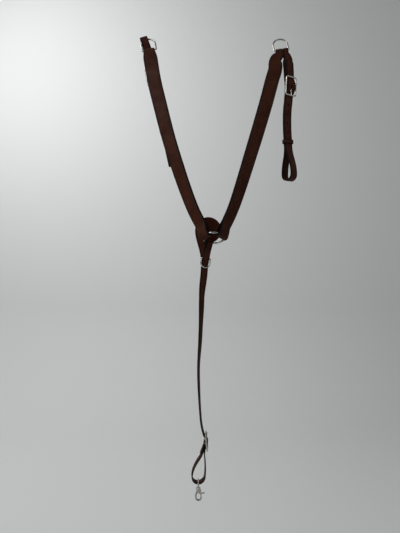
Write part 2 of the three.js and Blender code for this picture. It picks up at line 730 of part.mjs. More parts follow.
const EYE_WIRE = 1.9;
const loopFrame = girthSpine.at(GIRTH_BOTTOM, 0);
const EYE_TOP = LEATHER / 2 + GAP + EYE_WIRE; // above the middle of the leather
const EYE_DROP = 15; // from the top of the eye's centre line to its bottom
const snapTop = loopFrame.point.clone().add(V(0, 0, EYE_TOP - EYE_DROP - EYE_WIRE - 1));

// The eye: a dee across the strap, with a headed stem that turns in the barrel.
function eyeShape() {
  const half = GIRTH_WIDTH / 2 + EYE_WIRE + 0.9;
  const outline = [
    ...arc(half - 3, EYE_DROP - 3, 3, 0, 90, 3),
    ...arc(3 - half, EYE_DROP - 3, 3, 90, 180, 3),
    ...arc(7 - half, 7, 7, 180, 270, 4),
    ...arc(half - 7, 7, 7, 270, 360, 4),
  ];
  const loop = wire(flat(outline), EYE_WIRE, 8, true, V(0, 0, 1)).translate(0, EYE_WIRE + 1, 0);
  const stem = new THREE.LatheGeometry([
    [0, 2], [2, 2], [2, -2.4], [3.3, -2.6], [3.3, -4], [0, -4.4]]
    .reverse().map(([x, y]) => new THREE.Vector2(x, y)), 12);
  return join(loop, stem.translate(0, -0.2, 0)).rotateY(Math.PI / 2);
}

const PIVOT = [4.6, -11.5];

function snapBodyShape() {
  const barrel = new THREE.LatheGeometry([
    [0, -13], [4.4, -12.4], [6, -9], [6, -1], [5.2, 0],
    [2.4, 0], [2.4, -2.2], [3.7, -2.2], [3.7, -5.2], [0, -5.2]]
    .map(([x, y]) => new THREE.Vector2(x, y)), 16);
  const hookLine = [
    [-1, -9], [-4.6, -15], [-6.6, -21], ...arc(0.4, -27, 7.2, 180, 375, 11)];
  const hook = wire(flat(hookLine), 2.5, 8, false, V(0, 0, 1));
  const ear = new THREE.BoxGeometry(7, 8, 8).translate(PIVOT[0] - 0.6, PIVOT[1] + 0.6, 0);
  const slot = new THREE.BoxGeometry(9, 12, 3.4).translate(PIVOT[0] + 1.6, PIVOT[1] - 1.4, 0);
  const bore = new THREE.CylinderGeometry(1.3, 1.3, 20, 12).rotateX(Math.PI / 2).translate(...PIVOT, 0);
  return cut(join(barrel, hook, ear), slot, bore);
}

// The lever: a gate from the pivot down to the hook's tip, with a thumb piece to the right.
function leverShape() {
  const shape = new THREE.Shape();
  const outline = [
    ...arc(PIVOT[0], PIVOT[1], 2.6, 70, 180, 6),
    [PIVOT[0] - 0.6, -15], [5.6, -21], [6.2, -22.2], [8.6, -22.2],
    [8.9, -17.2], [17, -15.4], [17.6, -13.6], [16.6, -13], [8.4, -14.2], [7.3, -11.8],
  ];
  outline.forEach(([x, y], i) => (i ? shape.lineTo(x, y) : shape.moveTo(x, y)));
  shape.closePath();
  const hole = new THREE.Path();
  hole.absarc(PIVOT[0], PIVOT[1], 1.3, 0, 2 * Math.PI, true);
  shape.holes.push(hole);
  return new THREE.ExtrudeGeometry(shape, { depth: 2.8, bevelEnabled: false, curveSegments: 12 })
    .translate(0, 0, -1.4);
}

const pinShape = () => new THREE.CylinderGeometry(1, 1, 8.6, 12).rotateX(Math.PI / 2).translate(...PIVOT, 0);

for (const [name, shape] of [
  ['snap_eye', eyeShape()],
  ['snap_body', snapBodyShape()],
  ['snap_lever', leverShape()],
  ['snap_pin', pinShape()],
]) {
  const mesh = add(name, shape, metal(NICKEL));
  place(mesh, snapTop, V(1, 0, 0), V(0, 0, 1));
}

export default model;
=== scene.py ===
"""A western breast collar: fine leather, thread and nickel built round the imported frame."""

import itertools
import math

import bmesh
import bpy
import numpy as np
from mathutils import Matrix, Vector


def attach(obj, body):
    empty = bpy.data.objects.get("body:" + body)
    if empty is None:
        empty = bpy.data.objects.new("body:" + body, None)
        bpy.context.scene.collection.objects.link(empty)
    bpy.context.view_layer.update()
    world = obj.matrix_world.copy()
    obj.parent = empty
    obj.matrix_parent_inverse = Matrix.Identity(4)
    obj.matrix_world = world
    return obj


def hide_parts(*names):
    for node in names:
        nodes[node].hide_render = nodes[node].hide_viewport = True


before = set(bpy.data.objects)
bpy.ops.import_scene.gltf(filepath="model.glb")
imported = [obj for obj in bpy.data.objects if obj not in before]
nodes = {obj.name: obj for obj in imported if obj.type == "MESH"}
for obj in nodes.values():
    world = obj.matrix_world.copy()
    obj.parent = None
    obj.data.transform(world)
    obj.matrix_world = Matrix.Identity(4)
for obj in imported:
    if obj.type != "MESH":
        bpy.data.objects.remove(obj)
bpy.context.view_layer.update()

# Driving dimensions in millimetres, the same as the frame's own
MM = 0.001
GAP = 0.3  # clearance between pieces that touch
LEATHER = 2.8  # thickness of one layer of strap leather
LINING = 2.4
SHOULDER_WIDTH = 38
TUG_WIDTH = 25
GIRTH_WIDTH = 20
TAB_WIDTH = 19

RING_RADIUS = 29.5  # to the centre of the wire
RING_WIRE = 2.5  # this and the other wires' sizes are radii
RING_TILT = 66  # degrees that the ring's top leans out from the wall
RING_AT = np.array([-4.6, -41, -532.6])
RING_FOLD_WIDTH = 36
RING_FOLD_CLEARANCE = 4.6 * GAP
GIRTH_ON_RING = 247  # degrees round the ring
FOLD_END = 52  # how far from the dee or the ring the folded-back end reaches
SQUARE_RUN = 12  # a strap leaves a dee or the ring square to it over this length

DEE_WIRE = 2
DEE_HALF = 19.3  # half the length of the straight bar, and the radius of the arc
DEE_LEG = 19.7
DEE_CORNER = 2.2
DEE_LEAN = 18  # degrees that the arc leans back to the wall
BAR_Y = -26

BUCKLE_WIRE = 1.9
BUCKLE_BAR = 1.6
BUCKLE_CORNER = 4
BUCKLE_DROP = 3.7  # the centre bar sits this far behind the frame
FRAME_AT = 3.6  # the frame's plane in front of its strap's spine
TONGUE_WIRE = 1.2

TUG_BUCKLE = 100  # from the dee's wire to the centre bar
TUG_KEEPER = 249
TUG_FRAME = (15.6, 24.5)  # half the width and half the length
TUG_CHAPE = 44  # where the fold round the centre bar ends
TUG_BILLET = 30  # where the billet's tip lies
TUG_JOIN = 165  # from here down to the loop the two layers lie together
KEEPER_HEIGHT = 10.8
KEEPER_LEATHER = 2.2
KEEPER_CORNER = 3

GIRTH_TIE = 43  # from the ring's wire to the tie-down dee's bar
GIRTH_TAB = 66
GIRTH_FRAME = (13.2, 22)
GIRTH_LOOP = 17.6  # radius of the loop's bottom
TIE_WIRE = 1.75
TIE_HALF = 12.7
TIE_LEG = 13
TIE_TILT = 12  # degrees forward, over the tab's end

SAFE_RADIUS = 36
SAFE_LENGTH = 130
SAFE_AT = np.array([-17.5, -3, -472.4])  # top of the disc, in the middle of the leather
SAFE_LEFT_TAPER = 15.3  # how far the left edge draws in from the disc to the neck
SAFE_NECK_RIGHT = 12  # the neck's right edge, right of the disc's middle
SAFE_RIGHT_TAPER = 12.5  # how far that edge draws in down to the neck's end
SAFE_LIFT = 6  # how far the neck's end stands off the disc's plane
SAFE_TURN = 0.25  # the slope across the neck where it follows the girth strap

# What only the looks have
PATH_STEP = 1.2  # between the points of a smoothed path
PROBE = 0.6  # a path's direction is taken over this far each way
ROUND_END = 0.45  # a rounded end's length over the strap's width
ROUND_END_PARTS = (0.004, 0.03, 0.08, 0.17, 0.3, 0.45, 0.65, 0.85, 1)
BEND_STEP = math.radians(9)  # a band's cross-sections turn by no more than this
FLARE_STEP = 1.8  # between cross-sections where the width changes
PLAIN_STEP = 6  # and where it doesn't
GROOVE_AT = 3.0  # a tooled line this far in from each edge
GROOVE_DEPTH = 0.35
CROWN = 0.16  # a tooled face bulges this much
STITCH_STEP = 3.4
STITCH_LENGTH = 2.5
THREAD = 0.42  # radius
HOLE_RADIUS = 2.2
HOLE_STEP = 25


# Small mathematics

def V(x, y, z):
    return np.array([x, y, z], float)


def unit(v):
    return v / np.linalg.norm(v)


def smoothstep(x, low, high):
    t = min(max((x - low) / (high - low), 0), 1)
    return t * t * (3 - 2 * t)


def mix(a, b, t):
    return a + (b - a) * t


def arc(cx, cy, radius, start, end, steps):
    angles = np.radians(np.linspace(start, end, steps + 1))
    return [(cx + radius * math.cos(a), cy + radius * math.sin(a)) for a in angles]


def bend(p0, p1, p2, p3, steps=12):
    points = []
    for t in np.linspace(0, 1, steps + 1):
        weights = ((1 - t) ** 3, 3 * t * (1 - t) ** 2, 3 * t * t * (1 - t), t ** 3)
        points.append(tuple(sum(w * p[c] for w, p in zip(weights, (p0, p1, p2, p3))) for c in (0, 1)))
    return points


def evenly(start, end, h, steps):
    return [(s, h) for s in np.linspace(start, end, steps + 1)]


# Straps: a line with a width direction, and a path drawn along and in front of it

class Spine:
    """A centripetal Catmull-Rom line, with the direction of the strap's width along it."""

    def __init__(self, points, width_at):
        self.points = [np.array(p, float) for p in points]
        self.width_at = width_at
        samples = [self.point_at(t) for t in np.linspace(0, 1, 401)]
        chords = [np.linalg.norm(b - a) for a, b in zip(samples, samples[1:])]
        self.lengths = np.concatenate([[0], np.cumsum(chords)])
        self.length = self.lengths[-1]

    def point_at(self, t):
        count = len(self.points)
        place = (count - 1) * t
        i = min(int(place), count - 2)
        w = place - i
        p1, p2 = self.points[i], self.points[i + 1]
        p0 = self.points[i - 1] if i else 2 * p1 - p2
        p3 = self.points[i + 2] if i + 2 < count else 2 * p2 - p1
        d0, d1, d2 = (math.sqrt(np.linalg.norm(b - a)) for a, b in ((p0, p1), (p1, p2), (p2, p3)))
        m1 = ((p1 - p0) / d0 - (p2 - p0) / (d0 + d1) + (p2 - p1) / d1) * d1
        m2 = ((p2 - p1) / d1 - (p3 - p1) / (d1 + d2) + (p3 - p2) / d2) * d1
        return (p1 + m1 * w + (-3 * p1 + 3 * p2 - 2 * m1 - m2) * w ** 2
                + (2 * p1 - 2 * p2 + m1 + m2) * w ** 3)

    def at(self, s, h=0.0):
        inside = min(max(s, 0), self.length)
        t = np.interp(inside, self.lengths, np.linspace(0, 1, len(self.lengths)))
        along = unit(self.point_at(min(t + 1e-4, 1)) - self.point_at(max(t - 1e-4, 0)))
        width = self.width_at(inside)
        width = unit(width - along * np.dot(width, along))
        front = np.cross(along, width)
        return self.point_at(t) + along * (s - inside) + front * h, along, width, front


def turning(stops):
    """The width direction turns between the given places; angles run from +X toward the wall."""
    def width_at(s):
        i = 1
        while i < len(stops) - 1 and s > stops[i][0]:
            i += 1
        (s0, a0), (s1, a1) = stops[i - 1], stops[i]
        a = math.radians(mix(a0, a1, smoothstep(s, s0, s1)))
        return V(math.cos(a), math.sin(a), 0)
    return width_at


class Band:
    """One layer of leather along a path in (s, h) of a spine."""

    def __init__(self, spine, path, width, thickness, rounded=(), tooled=(1,)):
        self.spine, self.width, self.thickness, self.tooled = spine, width, thickness, tooled
        path = np.array(path, float)
        along = np.concatenate([[0], np.cumsum(np.linalg.norm(np.diff(path, axis=0), axis=1))])
        count = int(along[-1] / PATH_STEP) + 2
        places = np.linspace(0, along[-1], count)
        fine = np.stack([np.interp(places, along, path[:, c]) for c in (0, 1)], axis=1)
        for _ in range(2):
            fine[1:-1] = (fine[:-2] + 2 * fine[1:-1] + fine[2:]) / 4
        self.path = fine
        self.lengths = np.concatenate([[0], np.cumsum(np.linalg.norm(np.diff(fine, axis=0), axis=1))])
        self.total = self.lengths[-1]
        self.first = ROUND_END * width(path[0][0]) if "first" in rounded else 0
        self.last = ROUND_END * width(path[-1][0]) if "last" in rounded else 0

    def on_path(self, d):
        return np.array([np.interp(d, self.lengths, self.path[:, c]) for c in (0, 1)])

    def run_at(self, d):
        """The path's own direction in (s, h)."""
        return unit(self.on_path(min(d + PROBE, self.total)) - self.on_path(max(d - PROBE, 0)))

    def at(self, d):
        """Point, along, across and outward directions, and half the width at a distance along."""
        s, h = self.on_path(d)
        run = self.run_at(d)
        point, along, width, front = self.spine.at(s, h)
        out = front * run[0] - along * run[1]
        half = self.width(s) / 2
        for near, cap in ((d, self.first), (self.total - d, self.last)):
            if cap and near < cap:
                half *= math.sqrt(max(1 - (1 - near / cap) ** 2, 0.004))
        return point, along * run[0] + front * run[1], width, out, half

    def stations(self):
        """Distances along the band, close together where it bends, flares or has a rounded end."""
        places = [0.0]
        heading = None
        for d in self.lengths[1:-1]:
            run = self.run_at(d)
            angle = math.atan2(run[1], run[0])
            if heading is None:
                heading = angle
            turned = abs((angle - heading + math.pi) % (2 * math.pi) - math.pi)
            s = self.on_path(d)[0]
            flares = abs(self.width(s + 4) - self.width(s - 4)) > 0.05
            if turned > BEND_STEP or d - places[-1] > (FLARE_STEP if flares else PLAIN_STEP):
                places.append(float(d))
                heading = angle
        places.append(float(self.total))
        for cap, end in ((self.first, 0), (self.last, 1)):
            for part in ROUND_END_PARTS if cap else ():
                places.append(self.total - part * cap if end else part * cap)
        return sorted(set(places))

    def nearest(self, s, fits):
        """The distance along at which the band passes s, on a layer whose height fits."""
        layer = [(abs(ps - s), d) for d, (ps, ph) in zip(self.lengths, self.path) if fits(ph)]
        return min(layer)[1]


def section(half, thickness, tooled=(1,)):
    """Points (across, out, edge) round a layer: rounded edges, and a tooled line on the given faces; edge
    marks the dyed edges and paints shade beside them and in the tooled lines.
    """
    radius = min(thickness * 0.42, half * 0.8)
    groove = min(GROOVE_AT, half * 0.3)
    wide = min(0.55, groove * 0.3)
    depth = GROOVE_DEPTH if half > 4 else 0
    top = thickness / 2

    def face(sign):
        """The face from its left edge to its right edge."""
        # an untooled face is painted a little darker towards its edges, as shade
        if sign not in tooled:
            return [(groove - half, sign * top, 0.35), (0, sign * top, 0), (half - groove, sign * top, 0.35)]
        # the third numbers paint shade beside the edge and in the tooled line
        lines = [(groove - 2 * wide, 0, 0.7), (groove, depth, 1), (groove + 2 * wide, 0, 0.3)]
        left = [(inset - half, sign * (top - sunk), e) for inset, sunk, e in lines]
        crown = [(half * x, sign * (top + CROWN * rise), e)
                 for x, rise, e in ((-0.45, 0.75, 0.05), (0, 1, 0), (0.45, 0.75, 0.05))]
        right = [(half - inset, sign * (top - sunk), e) for inset, sunk, e in reversed(lines)]
        return left + crown + right

    round_edge = [(x, y + top - radius, 1) for x, y in arc(half - radius, 0, radius, 90, 0, 3)]
    round_edge += [(x, y - top + radius, 1) for x, y in arc(half - radius, 0, radius, 0, -90, 3)]
    left_edge = [(-x, y, e) for x, y, e in reversed(round_edge)]
    return face(1) + round_edge + face(-1)[::-1] + left_edge


def tube_faces(rings, sides, closed=False, start=0):
    """Faces between rings of points, with end caps unless the last ring meets the first."""
    faces = []
    for i in range(rings if closed else rings - 1):
        here = start + i * sides
        there = start + (i + 1) % rings * sides
        for k in range(sides):
            after = (k + 1) % sides
            faces.append((here + k, here + after, there + after, there + k))
    if not closed:
        faces.append(tuple(range(start, start + sides)))
        faces.append(tuple(range(start + (rings - 1) * sides, start + rings * sides)))
    return faces


def mesh_object(name, verts, faces, edge=None, sharp=50):
    """A smooth object from points in millimetres, with creases over the sharp angle in degrees.
    edge is 1 at a layer's dyed edges and in its tooled lines, with painted shade falling off beside them, and
    0 on its face."""
    mesh = bpy.data.meshes.new(name)
    mesh.from_pydata([tuple(c * MM for c in v) for v in verts], [], faces)
    if edge is not None:
        attribute = mesh.attributes.new("edge", "FLOAT", "POINT")
        attribute.data.foreach_set("value", edge)
    work = bmesh.new()
    work.from_mesh(mesh)
    bmesh.ops.remove_doubles(work, verts=work.verts, dist=1e-7)
    bmesh.ops.recalc_face_normals(work, faces=work.faces)
    work.to_mesh(mesh)
    work.free()
    mesh.polygons.foreach_set("use_smooth", [True] * len(mesh.polygons))
    mesh.set_sharp_from_angle(angle=math.radians(sharp))
    piece = bpy.data.objects.new(name, mesh)
    bpy.context.scene.collection.objects.link(piece)
    return piece



def band_object(name, band):
    verts = []
    edge = []
    stations = band.stations()
    for d in stations:
        point, _, width, out, half = band.at(d)
        ring = section(half, band.thickness, band.tooled)
        for x, y, e in ring:
            verts.append(point + width * x + out * y)
            edge.append(e)
    return mesh_object(name, verts, tube_faces(len(stations), len(ring)), edge)


def boolean(piece, tools, operation="DIFFERENCE"):
    """Cuts or joins other objects into a piece, and removes them."""
    for tool in tools:
        modifier = piece.modifiers.new("boolean", "BOOLEAN")
        modifier.operation = operation
        modifier.solver = "MANIFOLD"
        modifier.object = tool
    bpy.context.view_layer.update()
    graph = bpy.context.evaluated_depsgraph_get()
    mesh = bpy.data.meshes.new_from_object(piece.evaluated_get(graph))
    piece.modifiers.clear()
    piece.data = mesh
    for tool in tools:
        bpy.data.objects.remove(tool)
    return piece


def drill(band, places, sides=20, reach=2.2):
    """Round cutters through one layer at the given distances along it."""
    tools = []
    for d in places:
        centre, along, width, out, _ = band.at(d)
        verts = []
        for h in (-reach, reach):
            for x, y in arc(0, 0, HOLE_RADIUS, 0, 360 - 360 / sides, sides - 1):
                verts.append(centre + along * x + width * y + out * h)
        tools.append(mesh_object("cutter", verts, tube_faces(2, sides)))
    return tools


def slot_tool(spine, s, h, size):
    """A box in the strap's frame, for the tongue's slots."""
    centre, along, width, front = spine.at(s, h)
    verts = [centre + width * (x * size[0] / 2) + along * (y * size[1] / 2) + front * (z * size[2] / 2)
             for z in (-1, 1) for y in (-1, 1) for x in (-1, 1)]
    faces = [(0, 1, 3, 2), (4, 5, 7, 6), (0, 1, 5, 4), (2, 3, 7, 6), (0, 2, 6, 4), (1, 3, 7, 5)]
    return mesh_object("cutter", verts, faces)


def stitches(name, rows):
    """Rows of single stitches along both edges: each row is a band, the distances at which it starts
    and ends, and 1 for the band's outer face or -1 for its inner one."""
    verts = []
    faces = []
    profile = ((-1, 0.15), (-0.72, 0.8), (0, 1), (0.72, 0.8), (1, 0.15))
    sides = 6
    for band, first, last, face in rows:
        count = int((last - first) / STITCH_STEP)
        depth = GROOVE_DEPTH if face in band.tooled else 0.1
        for side, n in itertools.product((-1, 1), range(count)):
            point, along, width, out, half = band.at(first + (n + 0.5) * (last - first) / count)
            base = point + width * (side * (half - GROOVE_AT)) + out * (face * (band.thickness / 2 - depth))
            faces += tube_faces(len(profile), sides, start=len(verts))
            for place, fat in profile:
                rise = THREAD * (0.9 - 0.9 * place ** 2)
                centre = base + along * (place * STITCH_LENGTH / 2) + out * (face * rise)
                for a in np.radians(np.arange(sides) * 360 / sides):
                    verts.append(centre + (width * math.cos(a) + out * math.sin(a)) * THREAD * fat)
    return mesh_object(name, verts, faces, sharp=70)


# Metal

def wire(name, points, radius, closed, side, sides=18):
    """Round wire along points, starting each ring of its points on the given side.
    radius may be one number or one for each point."""
    points = [np.array(p, float) for p in points]
    count = len(points)
    radii = radius if isinstance(radius, (list, tuple)) else [radius] * count
    verts = []
    for i, p in enumerate(points):
        before = points[(i - 1) % count if closed else max(i - 1, 0)]
        after = points[(i + 1) % count if closed else min(i + 1, count - 1)]
        along = unit(after - before)
        across = unit(side - along * np.dot(side, along))
        up = np.cross(along, across)
        for a in np.radians(np.arange(sides) * 360 / sides):
            verts.append(p + (across * math.cos(a) + up * math.sin(a)) * radii[i])
    return mesh_object(name, verts, tube_faces(count, sides, closed))


def placed(points, origin, x, y):
    """Points given in a piece's own axes, in the frame's."""
    z = np.cross(x, y)
    return [origin + x * p[0] + y * p[1] + z * (p[2] if len(p) > 2 else 0) for p in points]


def rounded_wire_ends(radius, count, ends=4):
    """Radii for a wire whose two ends are rounded off."""
    taper = [math.sqrt(1 - (1 - (i + 0.2) / ends) ** 2) * radius for i in range(ends)]
    return taper + [radius] * (count - 2 * ends) + taper[::-1]


def dee_outline(half, leg, corner):
    return [*arc(half - corner, corner, corner, -90, 0, 8), *arc(0, leg, half, 0, 180, 40),
            *arc(corner - half, corner, corner, 180, 270, 8)]


def frame_outline(half_width, half_length, corner=BUCKLE_CORNER):
    w, h = half_width - corner, half_length - corner
    return [*arc(w, h, corner, 0, 90, 8), *arc(-w, h, corner, 90, 180, 8),
            *arc(-w, -h, corner, 180, 270, 8), *arc(w, -h, corner, 270, 360, 8)]


# Materials

def new_material(name):
    material = bpy.data.materials.new(name)
    material.use_nodes = True
    tree = material.node_tree
    shader = tree.nodes["Principled BSDF"]
    coordinates = tree.nodes.new("ShaderNodeTexCoord")
    return material, tree, shader, coordinates.outputs["Object"]


def noise(tree, vector, scale, detail=4.0, roughness=0.55):
    texture = tree.nodes.new("ShaderNodeTexNoise")
    texture.inputs["Scale"].default_value = scale
    texture.inputs["Detail"].default_value = detail
    texture.inputs["Roughness"].default_value = roughness
    tree.links.new(vector, texture.inputs["Vector"])
    return texture.outputs["Fac"]


def spread(tree, value, low, high, to_low, to_high):
    node = tree.nodes.new("ShaderNodeMapRange")
    for socket, number in (("From Min", low), ("From Max", high), ("To Min", to_low), ("To Max", to_high)):
        node.inputs[socket].default_value = number
    tree.links.new(value, node.inputs["Value"])
    return node.outputs["Result"]


def blend_colors(tree, factor, a, b):
    node = tree.nodes.new("ShaderNodeMix")
    node.data_type = "RGBA"
    tree.links.new(factor, node.inputs["Factor"])
    for socket, value in ((node.inputs[6], a), (node.inputs[7], b)):
        if isinstance(value, tuple):
            socket.default_value = (*value, 1)
        else:
            tree.links.new(value, socket)
    return node.outputs[2]


def bump(tree, shader, height, strength, distance, under=None):
    node = tree.nodes.new("ShaderNodeBump")
    node.inputs["Strength"].default_value = strength
    node.inputs["Distance"].default_value = distance
    tree.links.new(height, node.inputs["Height"])
    if under:
        tree.links.new(under, node.inputs["Normal"])
    tree.links.new(node.outputs["Normal"], shader.inputs["Normal"])
    return node.outputs["Normal"]


def leather(name, dark, mid, light, rough=(0.5, 0.68)):
    """Oiled leather: mottled colour, pebbled grain, edges dyed dark, and painted shade along the edges
    and in the tooled lines. rough is the range of its roughness."""
    material, tree, shader, place = new_material(name)
    mottle = noise(tree, place, 38, 6, 0.6)
    color = blend_colors(tree, spread(tree, mottle, 0.32, 0.68, 0, 1), mid, light)
    streaks = noise(tree, place, 260, 5, 0.7)
    color = blend_colors(tree, spread(tree, streaks, 0.42, 0.7, 0, 0.55), color, dark)
    edge = tree.nodes.new("ShaderNodeAttribute")
    edge.attribute_name = "edge"
    # edge darkens the dyed edges, and paints shade beside them and in the tooled lines
    color = blend_colors(tree, spread(tree, edge.outputs["Fac"], 0.15, 1, 0, 0.95), color, dark)
    tree.links.new(color, shader.inputs["Base Color"])
    tree.links.new(spread(tree, mottle, 0.3, 0.7, rough[1], rough[0]), shader.inputs["Roughness"])
    grain = tree.nodes.new("ShaderNodeTexVoronoi")
    grain.feature = "SMOOTH_F1"
    grain.inputs["Scale"].default_value = 950
    tree.links.new(place, grain.inputs["Vector"])
    pebbles = bump(tree, shader, grain.outputs["Distance"], 0.5, 0.00022)
    bump(tree, shader, noise(tree, place, 150, 5, 0.65), 0.35, 0.0006, pebbles)
    shader.inputs["Specular IOR Level"].default_value = 0.1
    return material


def nickel():
    material, tree, shader, place = new_material("nickel")
    # The metal is darkened, with darker patches at random, as painted reflection of a dark room.
    dark_reflection_mask = noise(tree, place, 120, 5, 0.6)
    bright, dark_reflection = (0.5, 0.485, 0.455), (0.22, 0.2, 0.17)
    color = blend_colors(tree, spread(tree, dark_reflection_mask, 0.42, 0.72, 0, 1), bright, dark_reflection)
    tree.links.new(color, shader.inputs["Base Color"])
    shader.inputs["Metallic"].default_value = 1
    tree.links.new(spread(tree, noise(tree, place, 420, 4), 0.3, 0.7, 0.14, 0.34), shader.inputs["Roughness"])
    bump(tree, shader, noise(tree, place, 900, 3), 0.12, 0.00012)
    return material


def thread():
    material, tree, shader, place = new_material("thread")
    twist = noise(tree, place, 1800, 2)
    dark, light = (0.035, 0.02, 0.012), (0.085, 0.05, 0.03)
    color = blend_colors(tree, spread(tree, twist, 0.35, 0.65, 0, 1), dark, light)
    tree.links.new(color, shader.inputs["Base Color"])
    shader.inputs["Roughness"].default_value = 0.75
    bump(tree, shader, twist, 0.6, 0.0002)
    return material


STRAP = leather(
    "strap_leather", dark=(0.005, 0.002, 0.0014), mid=(0.042, 0.0098, 0.0037), light=(0.064, 0.0185, 0.0082))
SAFE = leather(
    "safe_leather", dark=(0.007, 0.002, 0.0012), mid=(0.05, 0.0095, 0.0035), light=(0.078, 0.018, 0.0075))
FLESH = leather(
    "lining_leather", dark=(0.008, 0.004, 0.003), mid=(0.026, 0.012, 0.008), light=(0.042, 0.02, 0.013),
    rough=(0.7, 0.85))
NICKEL = nickel()
THREAD_BROWN = thread()


def finish(piece, body, slot, material, *replaced):
    """Paints a piece, seats it on its body, and hides the CAD nodes that it stands for."""
    piece.data.materials.clear()
    piece.data.materials.append(material)
    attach(piece, body)
    if replaced:
        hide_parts(*replaced)
    return piece


# Centre ring

ring_x = V(1, 0, 0)
ring_y = V(0, -math.sin(math.radians(RING_TILT)), math.cos(math.radians(RING_TILT)))


def sag_of(fold_width):
    """How far the ring's wire curves away across a fold of this width."""
    return fold_width ** 2 / (8 * RING_RADIUS)


def on_ring(angle, fold_width):
    """Where a fold sits on the ring, and the ring's direction there."""
    a = math.radians(angle)
    reach = RING_RADIUS - sag_of(fold_width) / 2
    point = RING_AT + ring_x * (reach * math.cos(a)) + ring_y * (reach * math.sin(a))
    return point, ring_y * math.cos(a) - ring_x * math.sin(a)


def ring_fold_radius(fold_width):
    return RING_WIRE + sag_of(fold_width) / 2 + RING_FOLD_CLEARANCE + LEATHER / 2


def square_to(point, tangent, toward):
    """The first two points of a strap that leaves the ring square to its wire."""
    away = toward - point
    away = unit(away - tangent * np.dot(away, tangent))
    return [point, point + away * SQUARE_RUN]


def make_ring():
    steps = 120
    circle = placed(arc(0, 0, RING_RADIUS, 0, 360 - 360 / steps, steps - 1), RING_AT, ring_x, ring_y)
    ring = wire("ring_nickel", circle, RING_WIRE, True, np.cross(ring_x, ring_y), 24)
    finish(ring, "ring", "nickel", NICKEL, "centre_ring")


# Shoulder dees

def dee_axes(roll):
    """A dee's own axes: along its bar, and up to its arc."""
    r = math.radians(roll)
    lean = math.radians(DEE_LEAN)
    y = V(-math.sin(r), 0, math.cos(r)) * math.cos(lean) + V(0, math.sin(lean), 0)
    return V(math.cos(r), 0, math.sin(r)), y


DEES = {"left": (V(-176.5, BAR_Y, -27.5), *dee_axes(9)), "right": (V(179.6, BAR_Y, -28), *dee_axes(8))}


def make_dees():
    for side, (bar, x, y) in DEES.items():
        outline = placed(dee_outline(DEE_HALF, DEE_LEG, DEE_CORNER), bar, x, y)
        dee = wire(f"{side}_dee_nickel", outline, DEE_WIRE, True, np.cross(x, y))
        finish(dee, f"{side}_dee", "nickel", NICKEL, f"{side}_dee")


# Shoulder straps

SHOULDERS = {
    "left": dict(
        offset=0, fold_width=27.5, widens=(-8, 24), ring_angle=142, lean=1,
        through=[
            V(-163, -27.6, -108), V(-150, -29, -163), V(-122, -34, -271), V(-96.5, -38, -352),
            V(-78, -41, -406), V(-57.5, -45, -459)]),
    "right": dict(
        offset=-7.5, fold_width=17.5, widens=(0, 46), ring_angle=38, lean=-1,
        through=[
            V(163.3, -26, -52), V(162.3, -26.3, -77), V(153.4, -27, -108), V(138.8, -29, -163),
            V(115, -33, -244), V(98.5, -35, -298), V(64.7, -41, -406), V(46, -45, -459)]),
}


def make_shoulder(side, offset, fold_width, widens, ring_angle, lean, through):
    """The outer leather, folded round the dee and the ring, with the lining behind it."""
    bar, dee_x, _ = DEES[side]
    start = bar + dee_x * offset
    ring, tangent = on_ring(ring_angle, RING_FOLD_WIDTH)
    square = V(dee_x[2], 0, -dee_x[0])
    points = [start, start + square * SQUARE_RUN, *through]
    points += square_to(ring, tangent, points[-1])[::-1]
    ring_width = tangent * np.sign(tangent[0])
    turn = math.radians(12)
    near_dee = V(math.cos(turn), -lean * math.sin(turn), 0)
    reach = np.linalg.norm(ring - start)

    def width_at(s):
        u = min(max((s - 60) / (reach - 75), 0), 1)
        return mix(mix(dee_x, near_dee, smoothstep(s, 5, 70)), ring_width, u ** 1.3)

    spine = Spine(points, width_at)
    total = spine.length
    dee_fold = DEE_WIRE + GAP + LEATHER / 2
    ring_fold = ring_fold_radius(RING_FOLD_WIDTH)
    front = LEATHER / 2 + GAP / 2
    back = -LINING / 2 - GAP / 2
    path = [
        (FOLD_END, back - 0.2), (FOLD_END * 0.6, back - 0.3), (12, -dee_fold * 0.85),
        *arc(0, 0, dee_fold, -75, -285, 16),
        (12, dee_fold * 0.8), (19, dee_fold * 0.6), (26, front), (33, front),
        *evenly(40, total - 40, front, 60),
        (total - 28, front), (total - 13, ring_fold * 0.8),
        *arc(total, 0, ring_fold, 105, -105, 16),
        (total - 13, -ring_fold * 0.85), (total - FOLD_END * 0.6, back - 0.3),
        (total - FOLD_END, back - 0.2),
    ]

    def width(s):
        at_ring = mix(RING_FOLD_WIDTH, SHOULDER_WIDTH, smoothstep(total - s, 8, 45))
        return mix(fold_width, at_ring, smoothstep(s, *widens) if s < total / 2 else 1)

    body = f"{side}_shoulder"
    face = Band(spine, path, width, LEATHER)
    outer = band_object(f"{side}_shoulder_leather", face)
    finish(outer, body, "strap_leather", STRAP, f"{side}_shoulder_strap")
    fold_gap = 0.4
    lining_path = evenly(FOLD_END + fold_gap, total - FOLD_END - fold_gap, back, 60)
    lining = Band(spine, lining_path, width, LINING, tooled=())
    inner = band_object(f"{side}_lining_leather", lining)
    finish(inner, body, "lining", FLESH, f"{side}_shoulder_lining")
    rows = [(face, 60, face.total - 60, 1), (lining, 3, lining.total - 3, -1)]
    finish(stitches(f"{side}_shoulder_stitching", rows), body, "strap_leather", THREAD_BROWN)


# Tugs

def left_tug_start():
    """The left tug hangs on its dee's arc, left of the peg, a little inside the wire."""
    bar, x, y = DEES["left"]
    a = math.radians(117)
    on_arc = bar + x * (DEE_HALF * math.cos(a)) + y * (DEE_LEG + DEE_HALF * math.sin(a))
    return on_arc + V(0.2, -0.4, -1.8)


